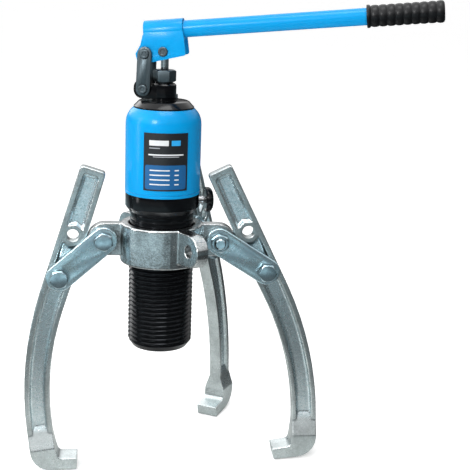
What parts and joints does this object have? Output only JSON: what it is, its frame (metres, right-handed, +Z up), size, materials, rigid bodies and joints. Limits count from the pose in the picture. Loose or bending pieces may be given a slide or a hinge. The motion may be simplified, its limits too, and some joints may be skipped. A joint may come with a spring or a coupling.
{
  "type": "hydraulic gear puller",
  "caption": "Hydraulic jaw puller: threaded barrel with oil tank and hand pump on top, screwed through an eared collar that carries hooked arms on strap pairs.",
  "frame": {"origin": "centre of the flat nose of the ram, on the axis of the threaded barrel, ram fully in", "axes": "+Z up along the ram axis from the nose towards the pump, +X towards the right-hand leg, -X towards the left-hand leg, +Y away from the side the label faces"},
  "size_m": [0.5175, 0.2928, 0.6438],
  "materials": {
    "cast_zinc": "zinc plated casting, satin",
    "forged_zinc": "zinc plated forging, satin",
    "strap_zinc": "zinc plated plate, satin",
    "fastener_zinc": "bright zinc plated",
    "black_oxide": "black oxide, oiled",
    "black_paint": "black paint, semi-gloss",
    "blue_paint": "sky blue gloss paint",
    "link_steel": "dark steel, satin",
    "ground_steel": "ground steel",
    "spring_steel": "drawn spring wire",
    "seal_rubber": "matt",
    "grip_rubber": "matt, ribbed",
    "label_film": "printed film, semi-matt"
  },
  "bodies": {
    "collar": {"collar": "cast_zinc"},
    "barrel": {"barrel": "black_oxide", "barrel_end_ring": "black_oxide", "return_spring": "spring_steel"},
    "ram": {"ram": "ground_steel", "piston": "ground_steel", "piston_seal": "seal_rubber"},
    "head": {"base_block": "black_paint", "oil_tank": "blue_paint", "tank_seal": "seal_rubber", "tank_label": "label_film", "pump_tube": "ground_steel", "top_plate": "black_paint", "filler_plug": "ground_steel", "pump_body": "black_paint", "gland_nut": "black_oxide"},
    "valve": {"valve_stem": "ground_steel", "valve_knob": "black_paint"},
    "plunger": {"plunger": "ground_steel", "plunger_pin": "black_oxide"},
    "links": {"link_plate_a": "link_steel", "link_plate_b": "link_steel", "link_pin_low": "black_oxide", "link_pin_high": "black_oxide"},
    "lever": {"lever_socket": "blue_paint", "lever_tube": "blue_paint", "lever_grip": "grip_rubber"},
    "straps_left": {"strap_left_a": "strap_zinc", "strap_left_b": "strap_zinc", "ear_bolt_left": "fastener_zinc", "ear_nut_left": "fastener_zinc", "arm_bolt_left": "fastener_zinc", "arm_nut_left": "fastener_zinc"},
    "jaw_left": {"arm_left": "forged_zinc"},
    "straps_right": {"strap_right_a": "strap_zinc", "strap_right_b": "strap_zinc", "ear_bolt_right": "fastener_zinc", "ear_nut_right": "fastener_zinc", "arm_bolt_right": "fastener_zinc", "arm_nut_right": "fastener_zinc"},
    "jaw_right": {"arm_right": "forged_zinc"},
    "straps_rear": {"strap_rear_a": "strap_zinc", "strap_rear_b": "strap_zinc", "ear_bolt_rear": "fastener_zinc", "ear_nut_rear": "fastener_zinc", "arm_bolt_rear": "fastener_zinc", "arm_nut_rear": "fastener_zinc"},
    "jaw_rear": {"arm_rear": "forged_zinc"}
  },
  "joints": [
    {"name": "fold_left", "type": "hinge", "parent": "collar", "child": "straps_left", "pos_m": [-0.0755, 0, 0.1495], "axis": [0, -1, 0], "range_deg": [-9.3, 7.5]},
    {"name": "tip_left", "type": "hinge", "parent": "straps_left", "child": "jaw_left", "pos_m": [-0.13279, 0, 0.09881], "axis": [0, -1, 0], "range_deg": [0, 8]},
    {"name": "fold_right", "type": "hinge", "parent": "collar", "child": "straps_right", "pos_m": [0.0755, 0, 0.1495], "axis": [0, 1, 0], "range_deg": [0, 16.7]},
    {"name": "tip_right", "type": "hinge", "parent": "straps_right", "child": "jaw_right", "pos_m": [0.14016, 0, 0.10862], "axis": [0, 1, 0], "range_deg": [0, 8]},
    {"name": "fold_rear", "type": "hinge", "parent": "collar", "child": "straps_rear", "pos_m": [0.03775, 0.06538, 0.1495], "axis": [-0.866, 0.5, 0], "range_deg": [0, 16.8]},
    {"name": "tip_rear", "type": "hinge", "parent": "straps_rear", "child": "jaw_rear", "pos_m": [0.07012, 0.12145, 0.10873], "axis": [-0.866, 0.5, 0], "range_deg": [0, 8]},
    {"name": "screw_feed", "type": "slide", "parent": "collar", "child": "barrel", "axis": [0, 0, 1], "range_m": [-0.012, 0.006]},
    {"name": "head_turn", "type": "hinge", "parent": "barrel", "child": "head", "pos_m": [0, 0, 0.19], "axis": [0, 0, 1], "range_deg": [-720, 360]},
    {"name": "ram_stroke", "type": "slide", "parent": "barrel", "child": "ram", "axis": [0, 0, -1], "range_m": [0, 0.06], "stiffness_N_per_m": 500, "springref_m": -0.09, "deforming": ["return_spring"]},
    {"name": "valve_turn", "type": "hinge", "parent": "head", "child": "valve", "pos_m": [0.05645, 0.00793, 0.201], "axis": [0.9903, 0.1392, 0], "range_deg": [0, 270]},
    {"name": "lever", "type": "hinge", "parent": "links", "child": "lever", "pos_m": [-0.02212, 0.00552, 0.3908], "axis": [-0.2419, -0.9703, 0], "range_deg": [-18, 24]},
    {"name": "link_swing", "type": "hinge", "parent": "head", "child": "links", "pos_m": [-0.02368, 0.0059, 0.3467], "axis": [-0.2419, -0.9703, 0], "range_deg": [-3, 3]},
    {"name": "plunger_stroke", "type": "slide", "parent": "head", "child": "plunger", "axis": [0, 0, 1], "range_m": [-0.0075, 0.0095]}
  ],
  "couplings": [
    {"joint": "screw_feed", "follows": "head_turn", "m_per_rad": 0.00095493},
    {"joint": "link_swing", "follows": "lever", "ratio": -0.1002},
    {"joint": "plunger_stroke", "follows": "lever", "m_per_rad": 0.020887}
  ]
}
